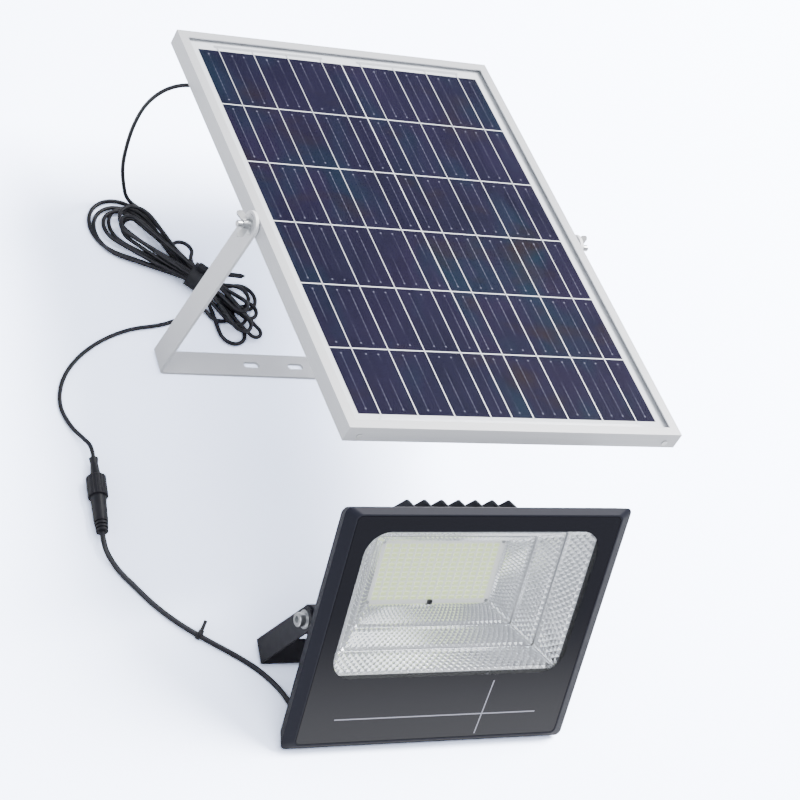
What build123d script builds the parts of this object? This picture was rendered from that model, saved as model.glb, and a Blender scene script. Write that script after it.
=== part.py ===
"""Solar flood light: a small solar panel on a U bracket and a flood light on its own bracket,
joined by one cable with a screw connector.  Millimetres, +Z up.  The origin is the middle of the
panel bracket's base, on the surface that everything stands on.  +X runs along the base, +Y away
from the flood light."""
from build123d import *
from math import cos, pi, radians, sin, tan
import os

# Solar panel.  Heights in the panel are measured from the pivot axis, along the panel's normal.
PANEL_WIDTH = 350
PANEL_LENGTH = 500
PANEL_TILT = -8
PIVOT_HEIGHT = 217.5
PANEL_FRONT = 11.0
PANEL_BACK = -6.0
RAIL_WALL = 1.4
RAIL_SKIN = 1.2
LIP_WIDTH = 9
FLANGE_WIDTH = 15
POCKET_TOP = PANEL_FRONT - RAIL_SKIN
POCKET_FLOOR = 5.9
GLASS_THICKNESS = 2.9
BACKSHEET_THICKNESS = 0.5
CELL_THICKNESS = 0.3
RIBBON_THICKNESS = 0.15
CELL_COLUMNS = 2
CELL_ROWS = 6
CELL_PITCH_X = 158
CELL_PITCH_Y = 77
CELL_GAP = 1.6
BUSBARS_PER_CELL = 4
PIVOT_BOLT_RADIUS = 3.0
RUNNING_GAP = 0.05

# Panel bracket: one flat strip bent into a U.
STRIP_WIDTH = 25
STRIP_THICKNESS = 3
ARM_INSIDE = 176
ARM_OUTSIDE = ARM_INSIDE + STRIP_THICKNESS
BASE_SLOT_LENGTH = 17
BASE_SLOT_WIDTH = 6.5
BASE_SLOT_PLACES = (-76, -27, 27, 76)

# Flood light.  Depths are measured from the front face, v is the height up the face.
LAMP_WIDTH = 300
LAMP_HEIGHT = 240
LAMP_LEAN = 30
LAMP_X = -16
LAMP_FOOT_Y = -405
RIM_DEPTH = 12
TRAY_DEPTH = 16
BEVEL_DEPTH = 4
BEVEL_SIDE = 10
BEVEL_END = 5
DRAFT_SIDE = 4
DRAFT_END = 6
LAMP_GLASS_WIDTH = 276
LAMP_GLASS_HEIGHT = 226
LAMP_GLASS_THICKNESS = 4
GASKET_THICKNESS = 1.5
WINDOW_V = 145
LED_BOARD_WIDTH = 140
LED_BOARD_HEIGHT = 72
LED_BOARD_FRONT = -60
LED_BOARD_THICKNESS = 1.6
LED_COLUMNS = 15
LED_ROWS = 12
LED_SIZE = (5.6, 3.0, 0.8)
SHELL_BACK = -66
SHELL_FRONT_SIZE = (268, 166)
SHELL_BACK_SIZE = (156, 92)
FIN_COUNT = 7
FIN_PITCH = 18
FIN_THICKNESS = 2.2
FIN_DEPTH = -78
LAMP_PIVOT_V = 117
LAMP_PIVOT_DEPTH = -28
LAMP_ARM_INSIDE = 141.6
LAMP_STRIP_WIDTH = 22
LAMP_STRIP_THICKNESS = 2.5
LAMP_ARM_LEAN = 11.2
LAMP_BOLT_RADIUS = 4.0
BATTERY_RADIUS = 13
BATTERY_LENGTH = 65
BATTERY_V = 50.5
BATTERY_DEPTH = -29.5

# Cables.
THIN_CORD = 4.0
THICK_CORD = 5.0
HANK_HEIGHT = 25
CONNECTOR_TIP = (-274.5, -115.5, 9.4)
CONNECTOR_AXIS = (-0.13, -0.99, 0)

PANEL = Plane(
    origin=(0, 0, PIVOT_HEIGHT),
    x_dir=(1, 0, 0),
    z_dir=(0, -sin(radians(PANEL_TILT)), cos(radians(PANEL_TILT))),
)
LAMP = Plane(
    origin=(
        LAMP_X,
        LAMP_FOOT_Y - RIM_DEPTH * cos(radians(LAMP_LEAN)),
        RIM_DEPTH * sin(radians(LAMP_LEAN)),
    ),
    x_dir=(1, 0, 0),
    z_dir=(0, -cos(radians(LAMP_LEAN)), sin(radians(LAMP_LEAN))),
)

PANEL_NORMAL = Axis(PANEL.origin, PANEL.z_dir)
LAMP_NORMAL = Axis(LAMP.origin, LAMP.z_dir)


def at(plane, x, y, z):
    """The plane moved to a point given in its own coordinates."""
    return Plane(origin=plane.from_local_coords((x, y, z)), x_dir=plane.x_dir, z_dir=plane.z_dir)


def side_on(plane, x, y, z):
    """A plane seen from +X: its own x runs up the face, its own y along the face's normal."""
    return Plane(origin=plane.from_local_coords((x, y, z)), x_dir=plane.y_dir, z_dir=plane.x_dir)


def save(builder, label):
    builder.part.label = label
    export_step(builder.part, f"parts/{label}.step")


os.makedirs("parts", exist_ok=True)

# ---------------------------------------------------------------- panel frame


SCREW_INSET = 14
SCREW_RADIUS = 1.6
half_width = PANEL_WIDTH / 2
half_length = PANEL_LENGTH / 2
right = PANEL.x_dir
far = PANEL.y_dir


def frame_rail(outward, half_across, half_along, hole_places, hole_radius):
    """One rail of the frame: a lipped channel with mitred ends, along the side that faces outward.
    Its outer wall has a hole at each of the places along it."""
    along = outward.cross(PANEL.z_dir)
    lip = half_across - LIP_WIDTH
    wall = half_across - RAIL_WALL
    flange = half_across - FLANGE_WIDTH
    with BuildPart() as rail:
        with BuildSketch(Plane(origin=PANEL.origin, x_dir=outward, z_dir=along)):
            with BuildLine():
                Polyline(
                    (half_across, PANEL_BACK),
                    (half_across, PANEL_FRONT),
                    (lip, PANEL_FRONT),
                    (lip, POCKET_TOP),
                    (wall, POCKET_TOP),
                    (wall, POCKET_FLOOR),
                    (lip, POCKET_FLOOR),
                    (lip, POCKET_FLOOR - RAIL_SKIN),
                    (wall, POCKET_FLOOR - RAIL_SKIN),
                    (wall, PANEL_BACK + RAIL_SKIN),
                    (flange, PANEL_BACK + RAIL_SKIN),
                    (flange, PANEL_BACK),
                    close=True,
                )
            make_face()
        extrude(amount=half_along, both=True)
        for end in (1, -1):
            corner = PANEL.origin + outward * half_across + along * (end * half_along)
            mitre = Plane(origin=corner, x_dir=PANEL.z_dir, z_dir=along * end - outward)
            split(bisect_by=mitre, keep=Keep.BOTTOM)
        for place in hole_places:
            start = PANEL.origin + outward * (wall - 1) + along * place
            with BuildSketch(Plane(origin=start, x_dir=along, z_dir=outward)):
                Circle(hole_radius)
            extrude(amount=RAIL_WALL + 2, mode=Mode.SUBTRACT)
    return rail


for label, outward in (("frame_rail_right", right), ("frame_rail_left", right * -1)):
    pivot_hole = PIVOT_BOLT_RADIUS + RUNNING_GAP
    save(frame_rail(outward, half_width, half_length, [0], pivot_hole), label)

for label, outward in (("frame_rail_far", far), ("frame_rail_near", far * -1)):
    screw_places = (SCREW_INSET - half_width, half_width - SCREW_INSET)
    screw_hole = SCREW_RADIUS + RUNNING_GAP
    save(frame_rail(outward, half_length, half_width, screw_places, screw_hole), label)

KEY_LEG = 34
KEY_WIDTH = 6.5
key_outer_x = half_width - RAIL_WALL - 0.1
key_outer_y = half_length - RAIL_WALL - 0.1
with BuildPart() as corner_keys:
    with BuildSketch(PANEL.offset(PANEL_BACK + RAIL_SKIN + 0.1)):
        for sx in (1, -1):
            for sy in (1, -1):
                with BuildLine():
                    Polyline(
                        (sx * key_outer_x, sy * key_outer_y),
                        (sx * (key_outer_x - KEY_LEG), sy * key_outer_y),
                        (sx * (key_outer_x - KEY_LEG), sy * (key_outer_y - KEY_WIDTH)),
                        (sx * (key_outer_x - KEY_WIDTH), sy * (key_outer_y - KEY_WIDTH)),
                        (sx * (key_outer_x - KEY_WIDTH), sy * (key_outer_y - KEY_LEG)),
                        (sx * key_outer_x, sy * (key_outer_y - KEY_LEG)),
                        close=True,
                    )
                make_face()
    extrude(amount=POCKET_FLOOR - PANEL_BACK - 2 * RAIL_SKIN - 0.2)
    for sy in (1, -1):
        for sx in (1, -1):
            bore = Plane(
                origin=PANEL.from_local_coords(
                    (sx * (half_width - SCREW_INSET), sy * (key_outer_y - KEY_WIDTH - 1), 0)
                ),
                x_dir=right,
                z_dir=far * sy,
            )
            with BuildSketch(bore):
                Circle(SCREW_RADIUS)
            extrude(amount=KEY_WIDTH + 2, mode=Mode.SUBTRACT)
save(corner_keys, "corner_keys")

with BuildPart() as corner_screws:
    for sy in (1, -1):
        for sx in (1, -1):
            seat = Plane(
                origin=PANEL.from_local_coords(
                    (sx * (half_width - SCREW_INSET), sy * half_length, 0)
                ),
                x_dir=right,
                z_dir=far * sy,
            )
            with BuildSketch(seat):
                Circle(2.9)
            extrude(amount=0.9)
            with BuildSketch(seat):
                Circle(SCREW_RADIUS)
            extrude(amount=-7)
save(corner_screws, "corner_screws")

# ---------------------------------------------------------------- laminate
laminate_width = PANEL_WIDTH - 2 * RAIL_WALL - 1
laminate_length = PANEL_LENGTH - 2 * RAIL_WALL - 1
cell_bottom = POCKET_FLOOR + BACKSHEET_THICKNESS
ribbon_bottom = cell_bottom + CELL_THICKNESS
cell_field_length = CELL_ROWS * CELL_PITCH_Y
BUS_RIBBON_OFFSET = 5
BUSBAR_PITCH = 37.6
BUSBAR_WIDTH = 1.0
BUS_RIBBON_WIDTH = 3

with BuildPart() as backsheet:
    with BuildSketch(PANEL.offset(POCKET_FLOOR)):
        Rectangle(laminate_width, laminate_length)
    extrude(amount=BACKSHEET_THICKNESS)
save(backsheet, "backsheet")

with BuildPart() as solar_cells:
    with BuildSketch(PANEL.offset(cell_bottom)):
        with GridLocations(CELL_PITCH_X, CELL_PITCH_Y, CELL_COLUMNS, CELL_ROWS):
            Rectangle(CELL_PITCH_X - CELL_GAP, CELL_PITCH_Y - CELL_GAP)
    extrude(amount=CELL_THICKNESS)
save(solar_cells, "solar_cells")

with BuildPart() as cell_ribbons:
    with BuildSketch(PANEL.offset(ribbon_bottom)):
        busbar_length = cell_field_length + 2 * BUS_RIBBON_OFFSET
        string_width = (BUSBARS_PER_CELL - 1) * BUSBAR_PITCH
        with GridLocations(CELL_PITCH_X, 0, CELL_COLUMNS, 1):
            with GridLocations(BUSBAR_PITCH, 0, BUSBARS_PER_CELL, 1):
                Rectangle(BUSBAR_WIDTH, busbar_length)
        with Locations((0, cell_field_length / 2 + BUS_RIBBON_OFFSET)):
            with GridLocations(CELL_PITCH_X, 0, CELL_COLUMNS, 1):
                Rectangle(string_width + 6, BUS_RIBBON_WIDTH)
        with Locations((0, -cell_field_length / 2 - BUS_RIBBON_OFFSET)):
            Rectangle(CELL_PITCH_X + string_width + 6, BUS_RIBBON_WIDTH)
    extrude(amount=RIBBON_THICKNESS)
save(cell_ribbons, "cell_ribbons")

with BuildPart() as panel_glass:
    with BuildSketch(PANEL.offset(POCKET_TOP)):
        Rectangle(laminate_width, laminate_length)
    extrude(amount=-GLASS_THICKNESS)
save(panel_glass, "panel_glass")

# ---------------------------------------------------------------- junction box
BOX_V = 197
BOX_WIDTH = 76
BOX_DEPTH = 52
BOX_BOTTOM = -16
BOX_WALL = 2
BOX_LID = 2.5
GLAND_HEIGHT = -8.5
GLAND_HOLE = 4
GLAND_BODY_LENGTH = 5
GLAND_NUT_LENGTH = 11
GLAND_THREAD_RADIUS = 4.5
GLAND_THREAD_LENGTH = 3
LID_SCREW_PLACES = (BOX_WIDTH - 12, BOX_DEPTH - 12)
box_plane = at(PANEL, 0, BOX_V, 0)
lid_plane = box_plane.offset(BOX_BOTTOM)
gland_plane = Plane(
    origin=box_plane.from_local_coords((-BOX_WIDTH / 2, 0, GLAND_HEIGHT)),
    x_dir=far,
    z_dir=right * -1,
)

with BuildPart() as junction_box:
    with BuildSketch(lid_plane):
        RectangleRounded(BOX_WIDTH, BOX_DEPTH, 4)
    extrude(amount=POCKET_FLOOR - BOX_BOTTOM)
    with BuildSketch(lid_plane):
        RectangleRounded(BOX_WIDTH - 2 * BOX_WALL, BOX_DEPTH - 2 * BOX_WALL, 3)
    extrude(amount=POCKET_FLOOR - BOX_BOTTOM - BOX_WALL, mode=Mode.SUBTRACT)
    with BuildSketch(lid_plane):
        with GridLocations(*LID_SCREW_PLACES, 2, 2):
            Circle(3.4)
    extrude(amount=POCKET_FLOOR - BOX_BOTTOM)
    with BuildSketch(lid_plane):
        with GridLocations(*LID_SCREW_PLACES, 2, 2):
            Circle(1.3)
    extrude(amount=9, mode=Mode.SUBTRACT)
    with BuildSketch(gland_plane):
        Circle(GLAND_HOLE)
    extrude(amount=-BOX_WALL, mode=Mode.SUBTRACT)
save(junction_box, "junction_box")

with BuildPart() as junction_box_lid:
    with BuildSketch(lid_plane):
        RectangleRounded(BOX_WIDTH, BOX_DEPTH, 4)
        with GridLocations(*LID_SCREW_PLACES, 2, 2):
            Circle(1.7, mode=Mode.SUBTRACT)
    extrude(amount=-BOX_LID)
    chamfer(junction_box_lid.faces().sort_by(PANEL_NORMAL)[0].outer_wire().edges(), 0.8)
save(junction_box_lid, "junction_box_lid")

with BuildPart() as lid_screws:
    with BuildSketch(lid_plane.offset(-BOX_LID)):
        with GridLocations(*LID_SCREW_PLACES, 2, 2):
            Circle(2.6)
    extrude(amount=-1.6)
    with BuildSketch(lid_plane.offset(-BOX_LID)):
        with GridLocations(*LID_SCREW_PLACES, 2, 2):
            Circle(1.25)
    extrude(amount=8)
save(lid_screws, "lid_screws")

TERMINAL_SIZE = (30, 12)
with BuildPart() as terminal_block:
    with BuildSketch(at(box_plane, 8, -4, POCKET_FLOOR - BOX_WALL)):
        Rectangle(*TERMINAL_SIZE)
    extrude(amount=-8)
    with BuildSketch(at(box_plane, 8, -4, POCKET_FLOOR - BOX_WALL - 8)):
        with GridLocations(10, 0, 3, 1):
            Circle(2)
    extrude(amount=3, mode=Mode.SUBTRACT)
save(terminal_block, "terminal_block")

DIODE_RADIUS = 2.7
with BuildPart() as blocking_diode:
    with BuildSketch(side_on(box_plane, 2, 12, POCKET_FLOOR - BOX_WALL - DIODE_RADIUS - 0.5)):
        Circle(DIODE_RADIUS)
    extrude(amount=10)
    with BuildSketch(side_on(box_plane, -10, 12, POCKET_FLOOR - BOX_WALL - DIODE_RADIUS - 0.5)):
        Circle(0.6)
    extrude(amount=34)
save(blocking_diode, "blocking_diode")

with BuildPart() as panel_gland_body:
    with BuildSketch(gland_plane):
        RegularPolygon(7, 6)
    extrude(amount=GLAND_BODY_LENGTH)
    with BuildSketch(gland_plane):
        Circle(GLAND_HOLE - RUNNING_GAP)
    extrude(amount=-6)
    with BuildSketch(gland_plane.offset(GLAND_BODY_LENGTH)):
        Circle(GLAND_THREAD_RADIUS)
    extrude(amount=GLAND_THREAD_LENGTH)
save(panel_gland_body, "panel_gland_body")

with BuildPart() as panel_gland_nut:
    with BuildSketch(gland_plane.offset(GLAND_BODY_LENGTH)):
        Circle(6.3)
        Circle(GLAND_THREAD_RADIUS + RUNNING_GAP, mode=Mode.SUBTRACT)
    extrude(amount=GLAND_NUT_LENGTH)
    fillet(panel_gland_nut.faces().sort_by(Axis.X)[0].outer_wire().edges(), 1.5)
save(panel_gland_nut, "panel_gland_nut")

with BuildPart() as panel_gland_seal:
    with BuildSketch(gland_plane.offset(GLAND_BODY_LENGTH + GLAND_THREAD_LENGTH)):
        Circle(GLAND_THREAD_RADIUS)
    extrude(amount=GLAND_NUT_LENGTH - GLAND_THREAD_LENGTH)
save(panel_gland_seal, "panel_gland_seal")

# ---------------------------------------------------------------- panel bracket
ARM_TOP = PIVOT_HEIGHT + STRIP_WIDTH / 2

with BuildPart() as panel_bracket:
    with BuildSketch(Plane.XZ):
        with BuildLine():
            outer = FilletPolyline(
                (ARM_OUTSIDE, ARM_TOP),
                (ARM_OUTSIDE, 0),
                (-ARM_OUTSIDE, 0),
                (-ARM_OUTSIDE, ARM_TOP),
                radius=7,
            )
            inner = FilletPolyline(
                (ARM_INSIDE, ARM_TOP),
                (ARM_INSIDE, STRIP_THICKNESS),
                (-ARM_INSIDE, STRIP_THICKNESS),
                (-ARM_INSIDE, ARM_TOP),
                radius=7 - STRIP_THICKNESS,
            )
            Line(outer @ 0, inner @ 0)
            Line(outer @ 1, inner @ 1)
        make_face()
    extrude(amount=STRIP_WIDTH / 2, both=True)
    arm_ends = panel_bracket.edges().filter_by(Axis.X).group_by(Axis.Z)[-1]
    fillet(arm_ends, STRIP_WIDTH / 2 - 0.1)
    with BuildSketch(Plane(origin=(-200, 0, PIVOT_HEIGHT), x_dir=(0, 1, 0), z_dir=(1, 0, 0))):
        Circle(PIVOT_BOLT_RADIUS + RUNNING_GAP)
    extrude(amount=400, mode=Mode.SUBTRACT)
    with BuildSketch(Plane.XY):
        with Locations(*[(place, 0) for place in BASE_SLOT_PLACES]):
            SlotOverall(BASE_SLOT_LENGTH, BASE_SLOT_WIDTH)
    extrude(amount=STRIP_THICKNESS, mode=Mode.SUBTRACT)
save(panel_bracket, "panel_bracket")

THIN_WASHER = 0.8
WIDE_WASHER = 1.4
BOLT_END = 192
pivot_axis_plane = Plane(origin=(0, 0, PIVOT_HEIGHT), x_dir=(0, 1, 0), z_dir=(1, 0, 0))

with BuildPart() as panel_pivot_bolts:
    for side in (1, -1):
        head_start = half_width - RAIL_WALL - 0.1
        with BuildSketch(pivot_axis_plane.offset(side * head_start)):
            RegularPolygon(4.3, 6)
        extrude(amount=-side * 4)
        with BuildSketch(pivot_axis_plane.offset(side * head_start)):
            Circle(PIVOT_BOLT_RADIUS)
        extrude(amount=side * (BOLT_END - head_start))
    chamfer(panel_pivot_bolts.faces().sort_by(Axis.X)[0].edges(), 0.6)
    chamfer(panel_pivot_bolts.faces().sort_by(Axis.X)[-1].edges(), 0.6)
save(panel_pivot_bolts, "panel_pivot_bolts")

with BuildPart() as panel_washers:
    for side in (1, -1):
        for start, thickness, radius in (
            (ARM_INSIDE - THIN_WASHER - 0.1, THIN_WASHER, 8),
            (ARM_OUTSIDE, WIDE_WASHER, 9.5),
        ):
            with BuildSketch(pivot_axis_plane.offset(side * start)):
                Circle(radius)
                Circle(PIVOT_BOLT_RADIUS + RUNNING_GAP, mode=Mode.SUBTRACT)
            extrude(amount=side * thickness)
save(panel_washers, "panel_washers")

WING_ANGLE = 31
WING_THICKNESS = 2.2


def wing_nut(side):
    """A wing nut on the end of a pivot bolt; side is 1 on the right and -1 on the left."""
    seat = pivot_axis_plane.offset(side * (ARM_OUTSIDE + WIDE_WASHER + 0.1))
    along = Vector(side, 0, 0)
    across = Vector(0, cos(radians(WING_ANGLE)), sin(radians(WING_ANGLE)))
    wing_plane = Plane(origin=seat.origin, x_dir=across, z_dir=across.cross(along))
    with BuildPart() as nut:
        with BuildSketch(seat):
            Circle(5)
        extrude(amount=side * 6, taper=8)
        with BuildSketch(wing_plane) as wings:
            for way in (1, -1):
                with BuildLine():
                    Polyline(
                        (way * 2, 0.6),
                        (way * 6, 1.0),
                        (way * 12, 6.0),
                        (way * 12, 11.0),
                        (way * 8.2, 11.0),
                        (way * 2, 5.4),
                        close=True,
                    )
                make_face()
            fillet(wings.vertices().group_by(Axis.X)[0] + wings.vertices().group_by(Axis.X)[-1], 1.6)
        extrude(amount=WING_THICKNESS / 2, both=True)
        with BuildSketch(seat):
            Circle(PIVOT_BOLT_RADIUS + RUNNING_GAP)
        extrude(amount=side * 12, mode=Mode.SUBTRACT)
    return nut


save(wing_nut(1), "wing_nut_right")
save(wing_nut(-1), "wing_nut_left")

# ---------------------------------------------------------------- lamp housing
RECESS_DEPTH = LAMP_GLASS_THICKNESS + GASKET_THICKNESS
POCKET_DEPTH = 13
LOWER_POCKET_DEPTH = 10
CAVITY_BACK = LED_BOARD_FRONT - LED_BOARD_THICKNESS
CAVITY_FRONT_SIZE = (256, 156)
CAVITY_BACK_SIZE = (150, 84)
BATTERY_BACK = -46
COMPARTMENT_FRONT = -13.2
COMPARTMENT = (228, 35)
COVER = (248, 41)
COVER_THICKNESS = 3
COVER_GASKET_THICKNESS = 1
COVER_SCREW_PLACES = (238, 25)
BOARD_SCREW_PLACES = (127.2, 61.2)
CONTROL_X = 72
CONTROL_PILLARS = (70, 25)
CONTROL_FRONT = -18
CONTROL_THICKNESS = 1.6
LAMP_GLAND_X = -125
LAMP_GLAND_V = 21
LAMP_GLAND_HOLE = 5
LUG_INSIDE = 131
LUG_OUTSIDE = 141
LUG_RADIUS = 13
half_face = LAMP_HEIGHT / 2

with BuildPart() as lamp_housing:
    with BuildSketch(at(LAMP, 0, half_face, -BEVEL_DEPTH)):
        RectangleRounded(LAMP_WIDTH, LAMP_HEIGHT, 6)
    with BuildSketch(at(LAMP, 0, half_face, -TRAY_DEPTH)):
        RectangleRounded(LAMP_WIDTH - 2 * DRAFT_SIDE, LAMP_HEIGHT - 2 * DRAFT_END, 6)
    loft()
    with BuildSketch(at(LAMP, 0, half_face, -BEVEL_DEPTH)):
        RectangleRounded(LAMP_WIDTH, LAMP_HEIGHT, 6)
    with BuildSketch(at(LAMP, 0, half_face, 0)):
        RectangleRounded(LAMP_WIDTH - 2 * BEVEL_SIDE, LAMP_HEIGHT - 2 * BEVEL_END, 6)
    loft()
    # Deep shell around the reflector, with a raised block behind it.
    with BuildSketch(at(LAMP, 0, WINDOW_V, -TRAY_DEPTH)):
        RectangleRounded(*SHELL_FRONT_SIZE, 14)
    with BuildSketch(at(LAMP, 0, WINDOW_V, SHELL_BACK)):
        RectangleRounded(*SHELL_BACK_SIZE, 8)
    loft()
    with BuildSketch(at(LAMP, 0, WINDOW_V, -TRAY_DEPTH)):
        RectangleRounded(128, 134, 4)
    with BuildSketch(at(LAMP, 0, WINDOW_V, SHELL_BACK)):
        RectangleRounded(122, 118, 4)
    loft()
    for index in range(FIN_COUNT):
        fin_x = (index - (FIN_COUNT - 1) / 2) * FIN_PITCH - FIN_THICKNESS / 2
        with BuildSketch(side_on(LAMP, fin_x, 0, 0)):
            with BuildLine():
                Polyline(
                    (219, -TRAY_DEPTH),
                    (219, -58),
                    (199, FIN_DEPTH),
                    (95, FIN_DEPTH),
                    (75, -60),
                    (75, -TRAY_DEPTH),
                    close=True,
                )
            make_face()
        extrude(amount=FIN_THICKNESS)
    with BuildSketch(at(LAMP, 0, BATTERY_V, -TRAY_DEPTH)):
        RectangleRounded(*COVER, 3)
    extrude(amount=BATTERY_BACK + TRAY_DEPTH)
    for lug_start in (LUG_INSIDE, -LUG_OUTSIDE):
        with BuildSketch(side_on(LAMP, lug_start, LAMP_PIVOT_V, 0)):
            with Locations((0, (LAMP_PIVOT_DEPTH - TRAY_DEPTH) / 2)):
                Rectangle(2 * LUG_RADIUS, TRAY_DEPTH + LAMP_PIVOT_DEPTH, mode=Mode.ADD)
            with Locations((0, LAMP_PIVOT_DEPTH)):
                Circle(LUG_RADIUS)
        extrude(amount=LUG_OUTSIDE - LUG_INSIDE)
        with BuildSketch(side_on(LAMP, lug_start, LAMP_PIVOT_V, LAMP_PIVOT_DEPTH)):
            Circle(LAMP_BOLT_RADIUS + RUNNING_GAP)
        extrude(amount=LUG_OUTSIDE - LUG_INSIDE, mode=Mode.SUBTRACT)
    # Seat for the glass and its gasket, then the two shallow pockets behind them.
    with BuildSketch(at(LAMP, 0, half_face, 0)):
        RectangleRounded(LAMP_GLASS_WIDTH + 1, LAMP_GLASS_HEIGHT + 1, 5)
    extrude(amount=-RECESS_DEPTH, mode=Mode.SUBTRACT)
    with BuildSketch(at(LAMP, 0, 146.5, -RECESS_DEPTH)):
        RectangleRounded(262, 159, 8)
    extrude(amount=RECESS_DEPTH - POCKET_DEPTH, mode=Mode.SUBTRACT)
    with BuildSketch(at(LAMP, 0, 38, -RECESS_DEPTH)):
        RectangleRounded(262, 48, 8)
    extrude(amount=RECESS_DEPTH - LOWER_POCKET_DEPTH, mode=Mode.SUBTRACT)
    with BuildSketch(at(LAMP, 0, WINDOW_V, -RECESS_DEPTH)):
        RectangleRounded(*CAVITY_FRONT_SIZE, 7)
    with BuildSketch(at(LAMP, 0, WINDOW_V, CAVITY_BACK)):
        RectangleRounded(*CAVITY_BACK_SIZE, 5)
    loft(mode=Mode.SUBTRACT)
    # Battery compartment, open at the back, with pillars for the control board.
    with BuildSketch(at(LAMP, 0, BATTERY_V, BATTERY_BACK)):
        RectangleRounded(*COMPARTMENT, 2)
    extrude(amount=COMPARTMENT_FRONT - BATTERY_BACK, mode=Mode.SUBTRACT)
    with BuildSketch(at(LAMP, CONTROL_X, BATTERY_V, CONTROL_FRONT)):
        with GridLocations(*CONTROL_PILLARS, 2, 2):
            Circle(2.5)
    extrude(amount=COMPARTMENT_FRONT - CONTROL_FRONT + 0.2)
    with BuildSketch(at(LAMP, 0, BATTERY_V, BATTERY_BACK)):
        with GridLocations(*COVER_SCREW_PLACES, 2, 2):
            Circle(1.65)
    extrude(amount=12, mode=Mode.SUBTRACT)
    with BuildSketch(at(LAMP, 0, WINDOW_V, CAVITY_BACK)):
        with GridLocations(*BOARD_SCREW_PLACES, 2, 2):
            Circle(1.25)
    extrude(amount=-3.6, mode=Mode.SUBTRACT)
    with BuildSketch(at(LAMP, LAMP_GLAND_X, LAMP_GLAND_V, -TRAY_DEPTH)):
        Circle(LAMP_GLAND_HOLE)
    extrude(amount=TRAY_DEPTH - LOWER_POCKET_DEPTH, mode=Mode.SUBTRACT)
    with BuildSketch(at(LAMP, 105, 57, COMPARTMENT_FRONT)):
        Circle(3)
    extrude(amount=4, mode=Mode.SUBTRACT)
save(lamp_housing, "lamp_housing")

with BuildPart() as front_glass:
    with BuildSketch(at(LAMP, 0, half_face, 0)):
        RectangleRounded(LAMP_GLASS_WIDTH, LAMP_GLASS_HEIGHT, 4.5)
    extrude(amount=-LAMP_GLASS_THICKNESS)
save(front_glass, "front_glass")

with BuildPart() as glass_gasket:
    with BuildSketch(at(LAMP, 0, half_face, -LAMP_GLASS_THICKNESS)):
        RectangleRounded(LAMP_GLASS_WIDTH, LAMP_GLASS_HEIGHT, 4.5)
        RectangleRounded(LAMP_GLASS_WIDTH - 14, LAMP_GLASS_HEIGHT - 14, 8, mode=Mode.SUBTRACT)
    extrude(amount=-GASKET_THICKNESS)
save(glass_gasket, "glass_gasket")

REFLECTOR_WALL = 1.4
REFLECTOR_CORNER = 2.5
REFLECTOR_TOP = -7
REFLECTOR_FLANGE = (251.6, 152)
# Reflector tiers, from the board outwards: depth and half sizes at each end.
REFLECTOR_TIERS = (
    ((-59, 66, 33), (-42, 84, 45.5)),
    ((-42, 86, 47.5), (-25, 103, 59)),
    ((-25, 105, 61), (REFLECTOR_TOP, 123, 73)),
)


def reflector_section(half_x, half_v, wall):
    """The reflector's outline at one depth, grown outwards by a wall."""
    RectangleRounded(2 * (half_x + wall), 2 * (half_v + wall), REFLECTOR_CORNER + wall)


with BuildPart() as reflector:
    for ends in REFLECTOR_TIERS:
        for depth, half_x, half_v in ends:
            with BuildSketch(at(LAMP, 0, WINDOW_V, depth)):
                reflector_section(half_x, half_v, REFLECTOR_WALL)
        loft()
    for (depth, half_x, half_v), _ in REFLECTOR_TIERS[1:]:
        with BuildSketch(at(LAMP, 0, WINDOW_V, depth)):
            reflector_section(half_x, half_v, REFLECTOR_WALL)
        extrude(amount=-REFLECTOR_WALL)
    with BuildSketch(at(LAMP, 0, WINDOW_V, REFLECTOR_TOP)):
        RectangleRounded(*REFLECTOR_FLANGE, 6)
    extrude(amount=-REFLECTOR_WALL)
    for ends in REFLECTOR_TIERS:
        for depth, half_x, half_v in ends:
            with BuildSketch(at(LAMP, 0, WINDOW_V, depth)):
                reflector_section(half_x, half_v, 0)
        loft(mode=Mode.SUBTRACT)
save(reflector, "reflector")

with BuildPart() as led_board:
    with BuildSketch(at(LAMP, 0, WINDOW_V, LED_BOARD_FRONT)):
        Rectangle(LED_BOARD_WIDTH, LED_BOARD_HEIGHT)
        with GridLocations(*BOARD_SCREW_PLACES, 2, 2):
            Circle(1.25, mode=Mode.SUBTRACT)
    extrude(amount=-LED_BOARD_THICKNESS)
save(led_board, "led_board")

LED_PITCH = (8.2, 4.9)
with BuildPart() as led_chips:
    with BuildSketch(at(LAMP, 0, WINDOW_V, LED_BOARD_FRONT)):
        with GridLocations(*LED_PITCH, LED_COLUMNS, LED_ROWS):
            Rectangle(LED_SIZE[0], LED_SIZE[1])
    extrude(amount=LED_SIZE[2])
save(led_chips, "led_chips")

with BuildPart() as infrared_receiver:
    with BuildSketch(at(LAMP, 2, 114.3, LED_BOARD_FRONT)):
        Rectangle(4.4, 3.4)
    extrude(amount=2.4)
save(infrared_receiver, "infrared_receiver")

with BuildPart() as led_board_screws:
    with BuildSketch(at(LAMP, 0, WINDOW_V, LED_BOARD_FRONT)):
        with GridLocations(*BOARD_SCREW_PLACES, 2, 2):
            Circle(1.8)
    extrude(amount=0.9)
    with BuildSketch(at(LAMP, 0, WINDOW_V, LED_BOARD_FRONT)):
        with GridLocations(*BOARD_SCREW_PLACES, 2, 2):
            Circle(1.2)
    extrude(amount=-5)
save(led_board_screws, "led_board_screws")

# ---------------------------------------------------------------- battery compartment
BATTERY_STARTS = (-110, -41)
BATTERY_CLEARANCE = 0.3

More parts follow.
